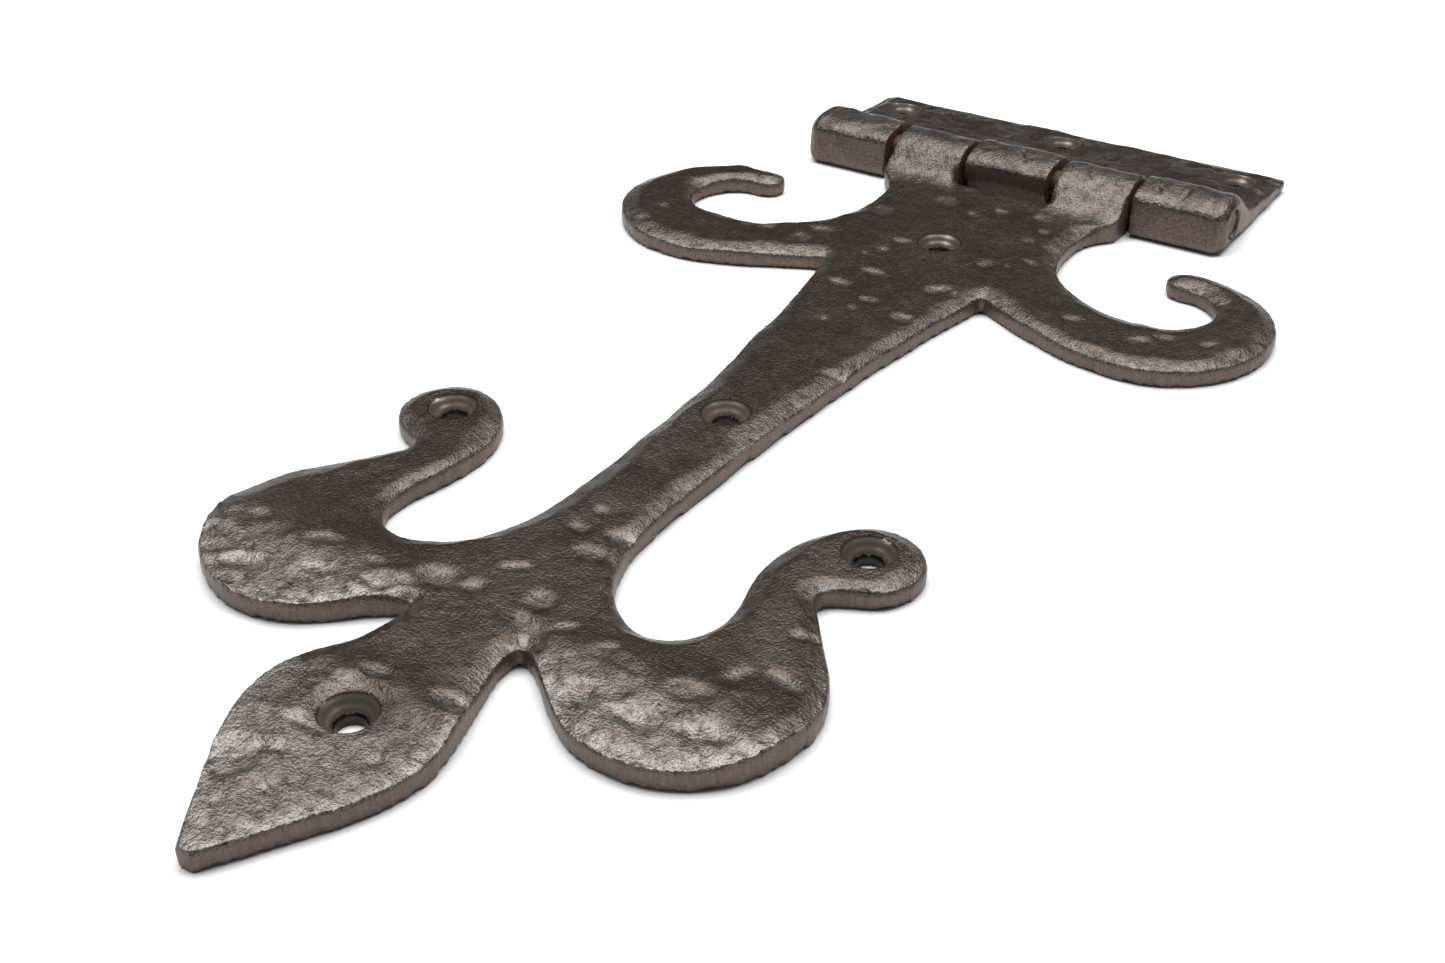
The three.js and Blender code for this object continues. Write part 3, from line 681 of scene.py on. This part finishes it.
class HINGE_OT_forge_plate(Operator):
    """Forge the jamb plate with its three knuckles"""
    bl_idname = "strap_hinge.forge_plate"
    bl_label = "Forge Jamb Plate"

    def execute(self, context):
        shape, finish = context.scene.hinge_shape, context.scene.hinge_finish
        obj, cad = remeshed_copy("jamb_plate", "forged_jamb_plate", shape.plate_spacing)
        mesh = obj.data
        p = points_of(mesh)
        turn_holes(p, PLATE_HOLES, 0.0, PLATE_RIM, PLATE_SINK_RADIUS, SINK_DEPTH)
        hole = hole_distance(p, PLATE_HOLES)
        edge = edge_distance(cad, p, PLATE_HOLES)
        plan = p * (1, 1, 0)
        flat = smooth(p[:, 1], 13, 19) * smooth(hole, SINK_RADIUS + 0.2, SINK_RADIUS + 2.5)
        top = p[:, 2] > 3
        width = np.clip(3.0 * (1 + 0.6 * wander(plan, 12, 21)), 1, 6)
        slope = np.clip(1 - edge / width, 0, 1) ** 1.2
        p[:, 2] -= flat * top * (0.9 * slope + 0.25 * wander(plan, 12, 22))
        p[:, 2] -= flat * top * np.maximum(0, 1.1 * wander(plan, 5, 23) - 0.2)

        axis = np.hypot(p[:, 1], p[:, 2] - AXIS_HEIGHT)
        knuckle = smooth(p[:, 1], 12, 8)
        reach = np.abs(p[:, 0])
        beaten = knuckle * smooth(p[:, 2], 4, 8) * smooth(axis, 4.2, 5.4)
        lump = 0.34 * wander(p, 8, 24) + 0.20 * wander(p, 3.2, 25)
        for back, front, y0, y1 in CRACKS:
            t = np.clip((y0 - p[:, 1]) / (y0 - y1), 0, 1)
            line = back + (front - back) * t + 0.45 * wander(plan, 3.0, 26)
            inside = (p[:, 1] < y0) & (p[:, 1] > y1)
            lump -= 0.7 * inside * np.exp(-((p[:, 0] - line) / 0.30) ** 2) * np.sin(t * math.pi)
        p[:, 2] += np.minimum(beaten * lump, 0.25)
        middle = (reach < 13) * smooth(p[:, 1], -4, -7.5) * smooth(p[:, 2], 7.5, 1.0)
        p[:, 1] += 3.0 * middle * smooth(axis, 4.2, 5.6)
        end = smooth(reach, 58.6, 62.4) ** 2 * smooth(p[:, 1], 12, 5) * smooth(axis, 3.9, 5.5)
        p[:, 1] -= end * 0.20 * p[:, 1]
        p[:, 2] -= end * 0.16 * (p[:, 2] - AXIS_HEIGHT)
        stray = shape.outline_wander / MM * smooth(p[:, 1], 30, 40)
        p[:, 1] += stray * wander(plan, 9, 27)
        side = smooth(p[:, 1], 14, 22) * smooth(reach, 57, 61)
        p[:, 0] += side * 0.4 * wander(plan, 8, 28)
        put_points(mesh, p)

        def gaps(q):
            near = smooth(np.hypot(q[:, 1], q[:, 2] - AXIS_HEIGHT), 12, 7)
            inner = (np.abs(np.abs(q[:, 0]) - 24.5) < 12.6)
            ends = smooth(np.abs(q[:, 0]), 62.0, 62.3) * smooth(
                np.hypot(q[:, 1], q[:, 2] - AXIS_HEIGHT), 6.5, 4.5)
            return np.maximum(near * inner * 0.62, ends * 0.4)

        paint(mesh, PLATE_HOLES, 0.0, 5.2, gaps)
        store(mesh, "wear_and_highlight", "POINT", np.clip(0.5 * slope * flat + 0.35 * knuckle, 0, 1))
        store(mesh, "hammer", "POINT", smooth(p[:, 2], 2.2, 3.8)
              * smooth(hole, SINK_RADIUS + 0.2, SINK_RADIUS + 2) * smooth(axis, 4.2, 5.6))
        material = iron_material("hammered_iron_plate", finish)
        apply_tree(obj, hammered_skin_tree(), skin_values(shape, material))
        finish_piece(obj, "plate", "jamb_plate")
        return {"FINISHED"}


class HINGE_OT_rivet_pin(Operator):
    """Make the pin with its two riveted ends"""
    bl_idname = "strap_hinge.rivet_pin"
    bl_label = "Rivet Pin"

    def execute(self, context):
        low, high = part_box("hinge_pin")
        obj = bpy.data.objects.new("riveted_pin", bpy.data.meshes.new("riveted_pin"))
        context.scene.collection.objects.link(obj)
        material = iron_material("rusty_pin_iron", context.scene.hinge_finish)
        apply_tree(obj, rivet_tree(), {
            "Radius": (high.z - low.z) / 2, "Length": high.x - low.x,
            "Height": (high.z + low.z) / 2, "Dome": 0.0007, "Seed": 2, "Material": material})
        mesh = obj.data
        count = len(mesh.vertices)
        store(mesh, "rust", "POINT", np.full(count, 0.55))
        for name in ("side", "turned", "wear_and_highlight", "radius", "painted_bore_shade"):
            store(mesh, name, "POINT", np.zeros(count))
        finish_piece(obj, "plate", "hinge_pin", 50)
        return {"FINISHED"}


class HINGE_OT_set_stage(Operator):
    """Set the floor, the soft overhead light and the camera"""
    bl_idname = "strap_hinge.set_stage"
    bl_label = "Set Stage"

    def execute(self, context):
        scene, stage = context.scene, context.scene.hinge_stage
        bpy.ops.mesh.primitive_plane_add(
            size=FLOOR_SIZE, location=(0, STAGE_CENTRE[1], -FLOOR_DROP))
        floor = context.active_object
        floor.name = "floor"
        floor.data.materials.append(floor_material(stage.floor_tone))

        data = bpy.data.lights.new("overhead", "AREA")
        data.shape, data.energy = "RECTANGLE", stage.key_power
        data.size, data.size_y = stage.key_width, LAMP_DEPTH
        lamp = bpy.data.objects.new("overhead", data)
        lamp.location = LAMP_PLACE
        lamp.rotation_euler = (Vector(STAGE_CENTRE) - Vector(LAMP_PLACE)).to_track_quat(
            "-Z", "Y").to_euler()
        scene.collection.objects.link(lamp)

        world = bpy.data.worlds.new("studio")
        world.use_nodes = True
        t = world.node_tree
        t.nodes.clear()
        seen = add(t, "ShaderNodeLightPath").outputs["Is Camera Ray"]
        level = maths(t, "MULTIPLY_ADD", seen, BACKDROP - stage.ambient, stage.ambient)
        back = add(t, "ShaderNodeBackground", {"Color": (1.0, 1.0, 1.0, 1.0), "Strength": level})
        add(t, "ShaderNodeOutputWorld", {"Surface": back.outputs[0]})
        scene.world = world

        data = bpy.data.cameras.new("camera")
        data.lens, data.sensor_width = CAMERA_LENS, CAMERA_SENSOR
        data.clip_start, data.clip_end = 0.01, 20.0
        camera = bpy.data.objects.new("camera", data)
        turn, lift, roll = map(math.radians, (CAMERA_TURN, CAMERA_LIFT, CAMERA_ROLL))
        back = Vector((math.sin(turn) * math.cos(lift), -math.cos(turn) * math.cos(lift),
                       math.sin(lift)))
        right = (-back).cross(Vector((0, 0, 1))).normalized()
        up = right.cross(-back)
        c, s = math.cos(roll), math.sin(roll)
        axes = Matrix((c * right + s * up, c * up - s * right, back)).transposed()
        camera.matrix_world = Matrix.Translation(CAMERA_PLACE) @ axes.to_4x4()
        scene.collection.objects.link(camera)
        scene.camera = camera
        scene.view_settings.view_transform = "Standard"
        return {"FINISHED"}


class HINGE_PT_panel(Panel):
    """Lists the steps that build the hinge"""
    bl_idname = "HINGE_PT_panel"
    bl_label = "Strap Hinge"
    bl_space_type = "VIEW_3D"
    bl_region_type = "UI"
    bl_category = "Strap Hinge"

    def draw(self, context):
        layout = self.layout
        for settings in (context.scene.hinge_shape, context.scene.hinge_finish,
                         context.scene.hinge_stage):
            for name in settings.__annotations__:
                layout.prop(settings, name)
        for step in STEPS:
            layout.operator(step.bl_idname)


SETTINGS = {"hinge_shape": HingeShape, "hinge_finish": HingeFinish, "hinge_stage": HingeStage}
STEPS = (HINGE_OT_forge_strap, HINGE_OT_forge_plate, HINGE_OT_rivet_pin, HINGE_OT_set_stage)


def register():
    for cls in (*SETTINGS.values(), *STEPS, HINGE_PT_panel):
        bpy.utils.register_class(cls)
    for name, cls in SETTINGS.items():
        setattr(bpy.types.Scene, name, PointerProperty(type=cls))


def unregister():
    for name in SETTINGS:
        delattr(bpy.types.Scene, name)
    for cls in (HINGE_PT_panel, *reversed(STEPS), *reversed(SETTINGS.values())):
        bpy.utils.unregister_class(cls)


def main():
    register()
    bpy.ops.strap_hinge.forge_strap()
    bpy.ops.strap_hinge.forge_plate()
    bpy.ops.strap_hinge.rivet_pin()
    bpy.ops.strap_hinge.set_stage()


if __name__ == "__main__":
    main()
